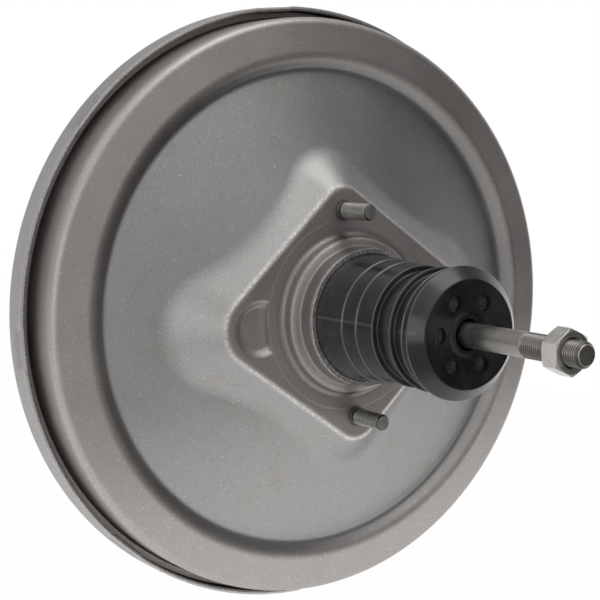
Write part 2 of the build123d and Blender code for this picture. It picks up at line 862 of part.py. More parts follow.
# ---------------------------------------------------------------- plunger and push rod
def air_valve_plunger():
    """Plunger: nose, key groove, air valve flange and the socket closed round the push rod's ball."""
    radius = plunger_bore - running_gap
    groove_back = key_y - key_thickness / 2 - key_clearance - plunger_travel
    groove_front = key_y + key_thickness / 2 + key_clearance
    socket_end = ball_y - socket_wrap
    plunger = turned(
        (0, plunger_nose_y),
        (radius, plunger_nose_y),
        (radius, groove_front),
        (plunger_groove_radius, groove_front),
        (plunger_groove_radius, groove_back),
        (radius, groove_back),
        (radius, plunger_flange_y + 3.0),
        (plunger_flange_radius, plunger_flange_y + 3.0),
        (plunger_flange_radius, plunger_flange_y),
        (plunger_socket_radius, plunger_flange_y),
        (plunger_socket_radius, socket_end),
        (0, socket_end),
    )
    return plunger - Pos(0, ball_y, 0) * Sphere(ball_radius + running_gap)


def push_rod():
    """Ball-ended rod with a spring shoulder and a threaded, chamfered end."""
    neck_end = ball_y - ball_radius - ball_neck_length
    seat_back = rod_seat_y - rod_seat_height
    rod = turned(
        (0, ball_y),
        (ball_neck_radius, ball_y),
        (ball_neck_radius, neck_end),
        (rod_shank_radius, neck_end - 1.5),
        (rod_shank_radius, seat_back),
        (rod_bead_radius, seat_back),
        (rod_bead_radius, seat_back - 1.0),
        (rod_shank_radius, seat_back - 2.5),
        (rod_shank_radius, -rod_thread_start),
        (rod_radius, -rod_thread_start - 0.4),
        (rod_radius, -rod_thread_end + rod_tip_chamfer),
        (rod_radius - rod_tip_chamfer, -rod_thread_end),
        (0, -rod_thread_end),
    )
    return rod + Pos(0, ball_y, 0) * Sphere(ball_radius)


def push_rod_spring_seat():
    bore = rod_shank_radius + running_gap
    return ring(rod_seat_radius, bore, rod_seat_y - rod_seat_height, rod_seat_y)


def jam_nut():
    """Hexagon nut with both faces chamfered at the corners."""
    back_y = -nut_start - nut_height
    plane = Plane(origin=(0, back_y, 0), x_dir=(1, 0, 0), z_dir=(0, 1, 0))
    outline = RegularPolygon(nut_across_flats / 2, 6, major_radius=False, rotation=30)
    hexagon = extrude(plane * outline, amount=nut_height)
    corner = nut_across_flats / 2 / math.cos(math.radians(30))
    crown = nut_across_flats / 2 - 0.2
    drop = (corner - crown) * math.tan(math.radians(30))
    envelope = turned(
        (0, back_y),
        (crown, back_y),
        (corner, back_y + drop),
        (corner, back_y + nut_height - drop),
        (crown, back_y + nut_height),
        (0, back_y + nut_height),
    )
    return (hexagon & envelope) - cylinder_y(rod_radius + running_gap, back_y - 1, back_y + nut_height + 1)


# ---------------------------------------------------------------- files
nodes = {
    "rear_shell": rear_shell,
    "firewall_studs": firewall_studs,
    "front_shell": front_shell,
    "reinforcement_plate": reinforcement_plate,
    "master_cylinder_studs": master_cylinder_studs,
    "front_seal": front_seal,
    "front_seal_retainer": front_seal_retainer,
    "rear_seal": rear_seal,
    "rear_bearing": rear_bearing,
    "boot": boot,
    "check_grommet": check_grommet,
    "check_valve": check_valve,
    "check_disc": check_disc,
    "check_spring": check_spring,
    "valve_body": valve_body,
    "diaphragm_support": diaphragm_support,
    "diaphragm": diaphragm,
    "reaction_disc": reaction_disc,
    "output_rod": output_rod,
    "output_rod_adjuster": output_rod_adjuster,
    "output_rod_retainer": output_rod_retainer,
    "return_spring": return_spring,
    "stop_key": stop_key,
    "poppet_valve": poppet_valve,
    "poppet_retainer": poppet_retainer,
    "poppet_spring": poppet_spring,
    "push_rod_spring": push_rod_spring,
    "air_filter": air_filter,
    "air_silencer": air_silencer,
    "air_valve_plunger": air_valve_plunger,
    "push_rod": push_rod,
    "push_rod_spring_seat": push_rod_spring_seat,
    "jam_nut": jam_nut,
}

os.makedirs("parts", exist_ok=True)
for name, make in nodes.items():
    export_step(make(), "parts/" + name + ".step")
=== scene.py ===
import json
import math

import bmesh
import bpy
from mathutils import Matrix, Vector


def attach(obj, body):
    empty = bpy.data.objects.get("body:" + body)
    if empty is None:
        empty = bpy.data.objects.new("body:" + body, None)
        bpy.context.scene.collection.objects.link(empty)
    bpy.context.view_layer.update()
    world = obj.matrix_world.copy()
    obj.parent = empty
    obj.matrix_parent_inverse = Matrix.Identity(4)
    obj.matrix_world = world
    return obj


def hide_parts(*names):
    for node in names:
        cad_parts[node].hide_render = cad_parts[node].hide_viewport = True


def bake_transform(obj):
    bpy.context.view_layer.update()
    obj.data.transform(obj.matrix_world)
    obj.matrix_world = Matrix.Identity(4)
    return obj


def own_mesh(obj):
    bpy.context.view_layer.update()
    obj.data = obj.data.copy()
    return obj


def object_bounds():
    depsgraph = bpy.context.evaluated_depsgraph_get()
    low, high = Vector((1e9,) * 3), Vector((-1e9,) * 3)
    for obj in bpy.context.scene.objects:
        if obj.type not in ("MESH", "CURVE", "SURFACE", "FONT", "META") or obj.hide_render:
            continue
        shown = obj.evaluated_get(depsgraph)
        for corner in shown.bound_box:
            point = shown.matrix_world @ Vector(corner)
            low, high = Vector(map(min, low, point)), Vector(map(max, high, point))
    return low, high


# Vacuum brake booster on a white studio floor. Metres, in the CAD frame: +Y towards the master cylinder,
# -Y towards the pedal, +Z up. Sizes below are written in millimetres and multiplied by MM.
MM = 0.001
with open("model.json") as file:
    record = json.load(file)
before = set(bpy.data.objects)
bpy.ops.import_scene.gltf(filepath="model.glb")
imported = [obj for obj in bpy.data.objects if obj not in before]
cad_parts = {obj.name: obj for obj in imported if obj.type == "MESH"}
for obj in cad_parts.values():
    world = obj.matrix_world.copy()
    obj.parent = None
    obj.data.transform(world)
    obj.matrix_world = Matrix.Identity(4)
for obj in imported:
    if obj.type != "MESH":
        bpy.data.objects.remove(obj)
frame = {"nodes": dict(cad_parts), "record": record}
cad_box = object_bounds()

# ---------------------------------------------------------------- sizes shared by the pieces, in millimetres
WALL = 2.0                     # of both shells and the diaphragm
SHARP_ANGLE = math.radians(32)

# Rear shell: neck, collar, dish, valley, crest of the rim band, side wall, flange
NECK_RADIUS = 32.2
NECK_LENGTH = 16.3
COLLAR_RADIUS = 36.9
COLLAR_HEIGHT = 5.6
DISH_TOP_Y = 1.2
VALLEY = (116.5, 30.2)
CREST = (122.5, 25.3)
REAR_RADIUS = 141.6
SHOULDER_Y = 29.6
FLANGE_Y = 55.0
FLANGE_RADIUS = 145.1
DISH_SLOPE = (VALLEY[1] - DISH_TOP_Y) / (VALLEY[0] - COLLAR_RADIUS - 1.4)
HIDDEN_RADIUS = 46.0           # the dish starts here, under the pad
HIDDEN_DISH_Y = DISH_TOP_Y + (HIDDEN_RADIUS - COLLAR_RADIUS - 1.2) * DISH_SLOPE

# Rhombic pad with its two dimples and studs
PAD_SIDE = 49.7
PAD_ANGLE = math.radians(39.5)
PAD_END_CORNER = 12.0
PAD_FLANK_CORNER = 17.0
PAD_EDGE_BLEND = 1.8
PAD_FOOT_BLEND = 3.0
DIMPLE_PITCH = 50.0
DIMPLE_RADIUS = 13.2
DIMPLE_FLOOR_RADIUS = 10.3
DIMPLE_DEPTH = 3.0

# Front shell: rim, bowl, raised seat for the master cylinder, recess
RIM_RADIUS = 147.6
RIM_LIP_Y = 48.7
RIM_DEPTH = 15.8
LANCE_COUNT = 8
LANCE_DEPTH = 0.9
BOWL_RADIUS = 139.0
BOWL_FRONT_RADIUS = 112.0
BOWL_FRONT_Y = 128.0
SEAT_FOOT_RADIUS = 69.0
SEAT_RADIUS = 62.0
SEAT_Y = 133.0
RECESS_RADIUS = 21.5
RECESS_Y = 111.0
OUTPUT_HOLE = 13.5
GROMMET_HOLE = 10.0
CYLINDER_STUD_HOLE = 4.84
PLATE_WALL = 2.5               # reinforcement plate under the cylinder studs' heads
VALVE_PITCH = 83.0
VALVE_ANGLE = math.radians(128)
VALVE_PLACE = (VALVE_PITCH * math.cos(VALVE_ANGLE), VALVE_PITCH * math.sin(VALVE_ANGLE))

# Studs
STUD_THREAD = 1.06
STUD_HEAD_HEIGHT = 3.0
STUD_BARE = 2.2                # length without thread at the wall
STUD_PITCH = 49.7              # firewall studs, from the axis
STUD_RADIUS = 3.97
STUD_LENGTH = 22.0
STUD_HEAD_RADIUS = 8.0
CYLINDER_STUD_PITCH = 41.3     # from the axis
CYLINDER_STUD_RADIUS = 4.76
CYLINDER_STUD_LENGTH = 27.0
CYLINDER_STUD_HEAD_RADIUS = 8.5

# Pedal rod and nut; the lengths run from the mounting face
BALL_RADIUS = 6.5
BALL_Y = -6.0
ROD_RADIUS = 5.556
SHANK_RADIUS = 5.45
ROD_THREAD = 1.27
THREAD_START = 128.5
THREAD_END = 163.3
NUT_START = 146.1
NUT_HEIGHT = 9.1
NUT_FLATS = 17.46
NUT_CHAMFER = math.radians(30)

# Boot: (distance from the mounting face, radius) of each ridge
BOOT_RIDGES = ((35.0, 29.1), (44.8, 28.3), (56.6, 27.6), (69.8, 28.0), (79.3, 28.5))
DEEP_FOLDS = (2, 3)
BOOT_FRONT = 84.6
BOOT_FACE_Y = -89.5
BOOT_INSIDE_Y = -87.0
BOOT_BEAD_Y = -13.9
ROD_HOLE = 7.05                # in the boot's face, wide enough for the rod's swing
VENT_COUNT = 6
VENT_RADIUS = 3.7
VENT_PITCH = 15.6
VENT_TURN = -6.0               # degrees
PARTING_SIDE = 171             # degrees

# Springs' ends along the axis
RETURN_SPRING = (13.6, 128.5)
ROD_SPRING = (-46.0, -23.2)
DISC_SPRING = (122.2, 147.5)


# ---------------------------------------------------------------- mesh helpers
def rounded(points, bends, step=0.5):
    """Line through (radius, y) points with an arc of the given radius at each inner corner."""
    line = [points[0]]
    for before, corner, after, bend in zip(points, points[1:], points[2:], bends):
        a = Vector((before[0] - corner[0], before[1] - corner[1]))
        b = Vector((after[0] - corner[0], after[1] - corner[1]))
        half = a.angle(b) / 2
        reach = min(bend / math.tan(half), 0.49 * a.length, 0.49 * b.length)
        radius = reach * math.tan(half)
        start = Vector(corner) + a.normalized() * reach
        end = Vector(corner) + b.normalized() * reach
        centre = Vector(corner) + (a.normalized() + b.normalized()).normalized() * (radius / math.sin(half))
        sweep = math.pi - 2 * half
        count = max(2, int(radius * sweep / step) + 1)
        first = start - centre
        turn = 1 if first.x * (end - centre).y - first.y * (end - centre).x > 0 else -1
        for index in range(count + 1):
            angle = turn * sweep * index / count
            line.append((
                centre.x + first.x * math.cos(angle) - first.y * math.sin(angle),
                centre.y + first.x * math.sin(angle) + first.y * math.cos(angle),
            ))
    line.append(points[-1])
    return line


def divided(line, step):
    """The same line with long runs cut into pieces no longer than step."""
    result = [line[0]]
    for start, end in zip(line, line[1:]):
        count = max(1, math.ceil(math.dist(start, end) / step))
        for index in range(1, count + 1):
            share = index / count
            result.append((start[0] + (end[0] - start[0]) * share, start[1] + (end[1] - start[1]) * share))
    return result


def offset(line, wall):
    """The line moved to its left by wall."""
    result = []
    for index, point in enumerate(line):
        before = Vector(line[max(index - 1, 0)])
        after = Vector(line[min(index + 1, len(line) - 1)])
        along = (after - before).normalized()
        result.append((point[0] - along.y * wall, point[1] + along.x * wall))
    return result


def smooth_step(low, high, value):
    share = min(max((value - low) / (high - low), 0.0), 1.0)
    return share * share * (3 - 2 * share)


def smooth_min(a, b, blend):
    share = max(blend - abs(a - b), 0.0) / blend
    return min(a, b) - share * share * blend / 4


def lathe(name, profile, segments, shape=None, closed=True, marks=None):
    """Turns a (radius, y) profile about the Y axis; shape(radius, y, angle, index) may move each point."""
    verts = []
    poles = [abs(radius) < 1e-6 for radius, _ in profile]
    index_of = {}
    for row, (radius, y) in enumerate(profile):
        for column in range(1 if poles[row] else segments):
            angle = 2 * math.pi * column / segments
            place = (radius, y, angle) if shape is None else shape(radius, y, angle, row)
            index_of[row, column] = len(verts)
            reach, height, turn = place
            verts.append((reach * math.cos(turn) * MM, height * MM, reach * math.sin(turn) * MM))
    faces = []
    pairs = list(zip(range(len(profile)), range(1, len(profile))))
    if closed:
        pairs.append((len(profile) - 1, 0))
    for low, high in pairs:
        for column in range(segments):
            following = (column + 1) % segments
            if poles[low] and poles[high]:
                continue
            if poles[low]:
                faces.append((index_of[low, 0], index_of[high, following], index_of[high, column]))
            elif poles[high]:
                faces.append((index_of[low, column], index_of[low, following], index_of[high, 0]))
            else:
                faces.append((
                    index_of[low, column], index_of[low, following],
                    index_of[high, following], index_of[high, column],
                ))
    return mesh_object(name, verts, faces, marks)


def mesh_object(name, verts, faces, marks=None):
    mesh = bpy.data.meshes.new(name)
    mesh.from_pydata(verts, [], faces)
    solid = bmesh.new()
    solid.from_mesh(mesh)
    bmesh.ops.recalc_face_normals(solid, faces=solid.faces)
    solid.to_mesh(mesh)
    solid.free()
    mesh.polygons.foreach_set("use_smooth", [True] * len(mesh.polygons))
    mesh.set_sharp_from_angle(angle=SHARP_ANGLE)
    for mark, level in (marks or {}).items():
        layer = mesh.attributes.new(mark, "FLOAT", "POINT")
        layer.data.foreach_set("value", [level(v.co / MM) for v in mesh.vertices])
    piece = bpy.data.objects.new(name, mesh)
    bpy.context.scene.collection.objects.link(piece)
    return piece


def move(piece, x=0.0, z=0.0):
    """Moves a piece's mesh across the Y axis, in millimetres."""
    piece.data.transform(Matrix.Translation((x * MM, 0, z * MM)))


def cut_round(piece, radius, y0, y1, x, z, segments=40):
    """Drills a hole parallel to the Y axis."""
    tool = lathe("tool", [(0, y0), (radius, y0), (radius, y1), (0, y1)], segments, closed=False)
    move(tool, x=x, z=z)
    change = piece.modifiers.new("cut", "BOOLEAN")
    change.operation = "DIFFERENCE"
    change.solver = "EXACT"
    change.object = tool
    bpy.context.view_layer.objects.active = piece
    bpy.ops.object.modifier_apply(modifier=change.name)
    bpy.data.objects.remove(tool)


def finished(piece, body, material, slot, *replaced):
    piece.data.materials.clear()
    piece.data.materials.append(material)
    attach(piece, body)
    if replaced:
        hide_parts(*replaced)
    return piece


# ---------------------------------------------------------------- material helpers
class Nodes:
    """Short names for building one node material."""

    def __init__(self, name):
        self.material = bpy.data.materials.new(name)
        self.material.use_nodes = True
        self.tree = self.material.node_tree
        self.shader = self.tree.nodes["Principled BSDF"]
        self.place = self.tree.nodes.new("ShaderNodeTexCoord").outputs["Object"]

    def link(self, source, target):
        self.tree.links.new(source, target)

    def noise(self, scale, detail=4.0, roughness=0.55, stretch=None):
        node = self.tree.nodes.new("ShaderNodeTexNoise")
        node.inputs["Scale"].default_value = scale
        node.inputs["Detail"].default_value = detail
        node.inputs["Roughness"].default_value = roughness
        place = self.place
        if stretch:
            mapping = self.tree.nodes.new("ShaderNodeMapping")
            mapping.inputs["Scale"].default_value = stretch
            self.link(self.place, mapping.inputs["Vector"])
            place = mapping.outputs["Vector"]
        self.link(place, node.inputs["Vector"])
        return node.outputs["Fac"]

    def ramp(self, value, *stops):
        node = self.tree.nodes.new("ShaderNodeValToRGB")
        ramp = node.color_ramp
        while len(ramp.elements) < len(stops):
            ramp.elements.new(0.5)
        for element, (position, color) in zip(ramp.elements, stops):
            element.position = position
            element.color = (*color, 1)
        self.link(value, node.inputs["Fac"])
        return node.outputs["Color"]

    def grey(self, value, low, high, dark, light):
        return self.ramp(value, (low, (dark,) * 3), (high, (light,) * 3))

    def mix(self, share, first, second, blend="MIX"):
        node = self.tree.nodes.new("ShaderNodeMix")
        node.data_type = "RGBA"
        node.blend_type = blend
        color_a, color_b, color_out = node.inputs[6], node.inputs[7], node.outputs[2]
        for socket, value in ((node.inputs["Factor"], share), (color_a, first), (color_b, second)):
            if isinstance(value, (int, float)):
                socket.default_value = value
            elif isinstance(value, tuple):
                socket.default_value = (*value, 1)
            else:
                self.link(value, socket)
        return color_out

    def attribute(self, name):
        node = self.tree.nodes.new("ShaderNodeAttribute")
        node.attribute_name = name
        return node.outputs["Fac"]

    def bump(self, height, strength, distance, base=None):
        node = self.tree.nodes.new("ShaderNodeBump")
        node.inputs["Strength"].default_value = strength
        node.inputs["Distance"].default_value = distance
        self.link(height, node.inputs["Height"])
        if base is not None:
            self.link(base, node.inputs["Normal"])
        return node.outputs["Normal"]

    def set(self, **values):
        names = {"color": "Base Color", "metallic": "Metallic", "roughness": "Roughness", "normal": "Normal",
                 "specular": "Specular IOR Level"}
        for key, value in values.items():
            socket = self.shader.inputs[names[key]]
            if isinstance(value, (int, float)):
                socket.default_value = value
            elif isinstance(value, tuple):
                socket.default_value = (*value, 1)
            else:
                self.link(value, socket)
        return self.material


def blasted_steel():
    """Blasted bare steel: fine grain, brown stains, dark and light specks, painted shade in corners and
    grooves, bright worn edges and a painted highlight.
    """
    m = Nodes("blasted_steel")
    grain = m.noise(1500, 3.0, 0.7)
    patches = m.noise(16, 5.0, 0.6)
    stains = m.noise(38, 6.0, 0.65)
    specks = m.noise(720, 2.0, 0.5)
    base = m.ramp(patches, (0.3, (0.410, 0.400, 0.390)), (0.7, (0.475, 0.468, 0.458)))
    base = m.mix(m.grey(stains, 0.55, 0.78, 0.0, 0.45), base, (0.40, 0.35, 0.30))
    base = m.mix(m.grey(grain, 0.38, 0.64, 0.0, 0.6), base, (0.33, 0.32, 0.31))
    base = m.mix(m.grey(specks, 0.70, 0.76, 0.0, 0.6), base, (0.16, 0.14, 0.13))
    base = m.mix(m.grey(m.noise(980, 2.0, 0.5), 0.64, 0.72, 0.0, 0.5), base, (0.74, 0.73, 0.71))
    tint = m.mix(m.grey(stains, 0.3, 0.7, 0.35, 1.0), (0.0, 0.0, 0.0), m.attribute("tint"))
    base = m.mix(tint, base, (1.22, 1.14, 1.125), blend="MULTIPLY")
    # Painted shade: the shells go darker towards this colour in the channel under the rim, in the valley, in
    # the collar's foot and round the studs' bases.
    base = m.mix(m.attribute("painted_shade"), base, (0.035, 0.03, 0.027))
    # Lighter, speckled marks: worn edges, and a painted highlight on the collar's top ring.
    glitter = m.grey(m.noise(900, 2.0, 0.6), 0.42, 0.60, 0.35, 1.0)
    sparkle = m.mix(glitter, (0.0, 0.0, 0.0), m.attribute("marks_and_highlights"))
    base = m.mix(sparkle, base, (0.86, 0.85, 0.83))
    rough = m.grey(patches, 0.3, 0.7, 0.43, 0.51)
    fine = m.bump(grain, 0.35, 0.0003)
    coarse = m.bump(m.noise(420, 3.0, 0.6), 0.12, 0.0004, fine)
    return m.set(color=base, metallic=1.0, roughness=rough, normal=coarse)


def plated_steel(name, dark, light, rough, scale=900.0, grain=0.25):
    """Zinc or plain steel with mottled colour, fine pitting and painted shade in thread roots."""
    m = Nodes(name)
    mottle = m.noise(scale / 6, 5.0, 0.6)
    fine = m.noise(scale * 3, 2.0, 0.6)
    base = m.ramp(mottle, (0.3, dark), (0.72, light))
    base = m.mix(m.grey(fine, 0.5, 0.7, 0.0, 0.45), base, tuple(value * 0.5 for value in dark))
    # Painted shade in thread roots.
    base = m.mix(m.attribute("painted_shade"), base, (0.05, 0.045, 0.04))
    normal = m.bump(fine, grain, 0.00015)
    uneven = m.grey(mottle, 0.3, 0.7, rough - 0.06, rough + 0.08)
    return m.set(color=base, metallic=1.0, roughness=uneven, normal=normal)


def turned_steel():
    """Push rod: light satin steel with faint rings from turning."""
    m = Nodes("turned_steel")
    rings = m.noise(1, 2.0, 0.5, stretch=(4, 2200, 4))
    mottle = m.noise(150, 4.0, 0.6)
    base = m.ramp(mottle, (0.3, (0.36, 0.345, 0.325)), (0.7, (0.45, 0.435, 0.415)))
    base = m.mix(m.grey(rings, 0.4, 0.7, 0.0, 0.25), base, (0.38, 0.36, 0.33))
    # Painted shade on the threaded end and in its roots.
    base = m.mix(m.attribute("painted_shade"), base, (0.07, 0.06, 0.05))
    rough = m.grey(mottle, 0.3, 0.7, 0.3, 0.4)
    return m.set(color=base, metallic=1.0, roughness=rough, normal=m.bump(rings, 0.2, 0.0001))


def black_rubber():
    """Satin moulded rubber with a fine skin and a little dust."""
    m = Nodes("black_rubber")
    skin = m.noise(1500, 3.0, 0.6)
    dust = m.noise(90, 5.0, 0.65)
    base = m.mix(m.grey(dust, 0.45, 0.75, 0.0, 0.7), (0.011, 0.011, 0.012), (0.036, 0.035, 0.034))
    # Lighter where the boot is marked: painted highlights along the ridge edges, and the mould's parting line.
    base = m.mix(m.attribute("marks_and_highlights"), base, (0.16, 0.158, 0.155))
    rough = m.grey(dust, 0.35, 0.75, 0.17, 0.32)
    return m.set(color=base, roughness=rough, specular=0.6, normal=m.bump(skin, 0.10, 0.0002))


def moulded_plastic(name, dark, light, rough):
    m = Nodes(name)
    flow = m.noise(60, 5.0, 0.6)
    fine = m.noise(1800, 2.0, 0.5)
    base = m.ramp(flow, (0.3, dark), (0.7, light))
    uneven = m.grey(flow, 0.3, 0.7, rough, rough + 0.1)
    return m.set(color=base, roughness=uneven, normal=m.bump(fine, 0.12, 0.0002))


def foam():
    """Open-cell filter foam: dark pits between light strands."""
    m = Nodes("filter_foam")
    cells = m.tree.nodes.new("ShaderNodeTexVoronoi")
    cells.inputs["Scale"].default_value = 900
    m.link(m.place, cells.inputs["Vector"])
    base = m.ramp(cells.outputs["Distance"], (0.1, (0.008, 0.008, 0.008)), (0.6, (0.10, 0.098, 0.095)))
    return m.set(color=base, roughness=0.95, normal=m.bump(cells.outputs["Distance"], 0.8, 0.0008))


# ---------------------------------------------------------------- rear shell
def dish_line():
    """Outer skin from the neck's lip to the flange; the hidden step keeps no rows, as they would show."""
    corners = [
        (NECK_RADIUS, -NECK_LENGTH),
        (NECK_RADIUS + 0.8, -COLLAR_HEIGHT - 2.0),
        (COLLAR_RADIUS, -COLLAR_HEIGHT),
        (COLLAR_RADIUS + 1.4, 0.0),
        (HIDDEN_RADIUS, 0.0),
        (HIDDEN_RADIUS + 0.2, HIDDEN_DISH_Y),
        VALLEY,
        CREST,
        (REAR_RADIUS, SHOULDER_Y),
        (REAR_RADIUS, FLANGE_Y),
        (FLANGE_RADIUS, FLANGE_Y),
    ]
    line = divided(rounded(corners, [1.5, 2.6, 2.8, 0.05, 0.05, 4.0, 6.0, 4.5, 1.2], 0.45), 0.75)
    return [place for place in line if not HIDDEN_RADIUS + 0.02 < place[0] < HIDDEN_RADIUS + 0.22]


def pad_distance(x, z):
    """How far a point lies outside the rhombus with rounded corners; negative inside."""
    x, z = abs(x), abs(z)
    flank = (PAD_SIDE - PAD_FLANK_CORNER) / math.sin(PAD_ANGLE)
    end = (PAD_SIDE - PAD_END_CORNER) / math.cos(PAD_ANGLE)
    along = x * math.cos(PAD_ANGLE) - z * math.sin(PAD_ANGLE)
    if along > flank * math.cos(PAD_ANGLE):
        return math.hypot(x - flank, z) - PAD_FLANK_CORNER
    if along < -end * math.sin(PAD_ANGLE):
        return math.hypot(x, z - end) - PAD_END_CORNER
    return x * math.sin(PAD_ANGLE) + z * math.cos(PAD_ANGLE) - PAD_SIDE


def pad_height(x, z):
    """Height of the pressed pad and its skirt, with the two dimples."""
    outside = pad_distance(x, z)
    height = -smooth_min(-outside, 0.0, PAD_EDGE_BLEND)
    for side in (-1, 1):
        away = math.hypot(x - side * DIMPLE_PITCH, z)
        height += DIMPLE_DEPTH * (1 - smooth_step(DIMPLE_FLOOR_RADIUS - 1.2, DIMPLE_RADIUS + 0.8, away))
    return height


def pressed(shift):
    """Raises the pad out of the turned dish; shift moves the inner skin by the wall."""
    def shape(radius, y, angle, row):
        x, z = radius * math.cos(angle), radius * math.sin(angle)
        pad = pad_height(x, z) + shift(row)
        if HIDDEN_RADIUS - 0.01 < radius < HIDDEN_RADIUS + 0.3:
            y = pad
        elif HIDDEN_RADIUS < radius < VALLEY[0]:
            y = smooth_min(y, pad, PAD_FOOT_BLEND)
        return radius, y, angle
    return shape


def rear_wear_and_highlight(place):
    """Bright rubbed edges, the rhombus's edge and the neck's lip, and a painted highlight on the collar's top
    ring.
    """
    radius = math.hypot(place.x, place.z)
    wear = 0.0
    if COLLAR_RADIUS + 2 < radius < 90 and place.y < 6:
        wear = math.exp(-((pad_distance(place.x, place.z) - 0.2) / 0.8) ** 2)
    if radius < NECK_RADIUS + 1.5 and place.y < -11:
        wear = 0.95 * smooth_step(-13.6, -15.4, place.y)
    # Painted highlight on the collar's top ring.
    if abs(radius - COLLAR_RADIUS + 0.6) < 1.0 and -7.0 < place.y < -4.5:
        wear = max(wear, 0.12)
    return wear


def rear_painted_shade(place):
    """Painted shade low on the side wall and flange under the rim's lip, in the valley, in the collar's foot
    and round the studs; the neck is darker too.
    """
    radius = math.hypot(place.x, place.z)
    # Painted shade in the channel under the rim's lip, lifted along a thin line at the flange's corner, which
    # stays lighter.
    if place.y > SHOULDER_Y + 2 and radius > REAR_RADIUS - 1:
        line = math.exp(-((place.y - 54.2) / 0.5) ** 2) if radius < REAR_RADIUS + 1.2 else 0.0
        return (0.20 * smooth_step(31, 38, place.y) + 0.1 * smooth_step(46, 53, place.y)) * (1 - 0.9 * line)
    # The neck and the collar's top slope are darker.
    if radius < COLLAR_RADIUS and place.y < -COLLAR_HEIGHT + 0.6:
        return 0.42
    # Painted shade in the concave foot of the collar.
    if radius < COLLAR_RADIUS + 6 and place.y > -5:
        return 0.45 * (1 - smooth_step(COLLAR_RADIUS + 1.5, COLLAR_RADIUS + 5.5, radius))
    # Painted shadow round the studs' bases.
    for side in (-1, 1):
        away = math.hypot(place.x, place.z - side * STUD_PITCH)
        if away < 8 and place.y < 1:
            return 0.7 * math.exp(-((away - 4.0) / 0.9) ** 2)
    # Painted shade along the valley.
    return 0.4 * math.exp(-((radius - VALLEY[0]) / 1.1) ** 2)


def rear_tint(place):
    """Flat pressed areas keep a warmer, browner scale: the pad, the collar and the rim band."""
    radius = math.hypot(place.x, place.z)
    band = smooth_step(CREST[0] - 4, CREST[0], radius)
    pad = 1 - smooth_step(-1.0, 1.0, pad_distance(place.x, place.z))
    return max(band, pad)


def rear_shell():
    outer = dish_line()
    inner = offset(outer, WALL)
    profile = outer + inner[::-1]
    count = len(outer)
    shell = lathe("rear_dish", profile, 560, pressed(lambda row: 0.0 if row < count else WALL),
                  marks={"marks_and_highlights": rear_wear_and_highlight, "painted_shade": rear_painted_shade, "tint": rear_tint})
    return finished(shell, "housing", steel, "shell_steel", "rear_shell")


# ---------------------------------------------------------------- front shell
def front_line():
    """Outer skin from the rim's lip to the hole for the output rod."""
    shoulder_y = RIM_LIP_Y + RIM_DEPTH
    corners = [
        (RIM_RADIUS, RIM_LIP_Y),
        (RIM_RADIUS, shoulder_y),
        (BOWL_RADIUS, shoulder_y),
        (BOWL_FRONT_RADIUS, BOWL_FRONT_Y),
        (SEAT_FOOT_RADIUS, BOWL_FRONT_Y),
        (SEAT_RADIUS, SEAT_Y),
        (RECESS_RADIUS, SEAT_Y),
        (RECESS_RADIUS, RECESS_Y),
        (OUTPUT_HOLE, RECESS_Y),
    ]
    return divided(rounded(corners, [3.5, 1.5, 22.0, 3.0, 3.0, 2.6, 2.6], 0.6), 2.0)


def lanced(radius, y, angle, row):
    """Tabs pressed inwards from the rim."""
    step = 2 * math.pi / LANCE_COUNT
    away = abs((angle / step + 0.5) % 1.0 - 0.5) * step * RIM_RADIUS
    if radius > RIM_RADIUS - 3 and y < FLANGE_Y + 2:
        depth = (1 - smooth_step(7.4, 9.2, away)) * smooth_step(RIM_LIP_Y - 1, RIM_LIP_Y + 1.2, y)
        radius -= LANCE_DEPTH * depth * (1 - smooth_step(FLANGE_Y - 1.0, FLANGE_Y + 1.5, y))
    return radius, y, angle


def front_wear(place):
    radius = math.hypot(place.x, place.z)
    return 0.35 * smooth_step(RIM_LIP_Y + 1.0, RIM_LIP_Y, place.y) if radius > RIM_RADIUS - 3 else 0.0


def front_painted_shade(place):
    """Painted shade on the inside of the rim and the inner half of the lip's end."""
    radius = math.hypot(place.x, place.z)
    inside = radius < RIM_RADIUS - 1.2 and place.y < FLANGE_Y + 6 and radius > REAR_RADIUS
    return 0.9 if inside else 0.0


def front_shell():
    outer = front_line()
    inner = offset(outer, WALL)
    lip = (RIM_RADIUS - WALL / 2, RIM_LIP_Y - 0.35)
    shell = lathe("front_bowl", outer + inner[::-1] + [lip], 480, lanced,
                  marks={"marks_and_highlights": front_wear, "painted_shade": front_painted_shade})
    cut_round(shell, GROMMET_HOLE, BOWL_FRONT_Y - 4, BOWL_FRONT_Y + 4, *VALVE_PLACE)
    for side in (-1, 1):
        cut_round(shell, CYLINDER_STUD_HOLE, SEAT_Y - 4, SEAT_Y + 2, side * CYLINDER_STUD_PITCH, 0)
    return finished(shell, "housing", steel, "shell_steel", "front_shell")


# ---------------------------------------------------------------- threads
def threaded_line(start, end, step):
    count = max(2, int(abs(end - start) / step))
    return [start + (end - start) * index / count for index in range(count + 1)]


def thread_radius(crest, pitch, place, angle, depth=0.55):
    """Crest radius less a 60 degree groove that winds round a right-handed helix."""
    phase = (place / pitch + angle / (2 * math.pi)) % 1.0
    groove = abs(phase - 0.5) * 2
    return crest - depth * pitch * max(0.0, min(1.0, (groove - 0.12) / 0.8))


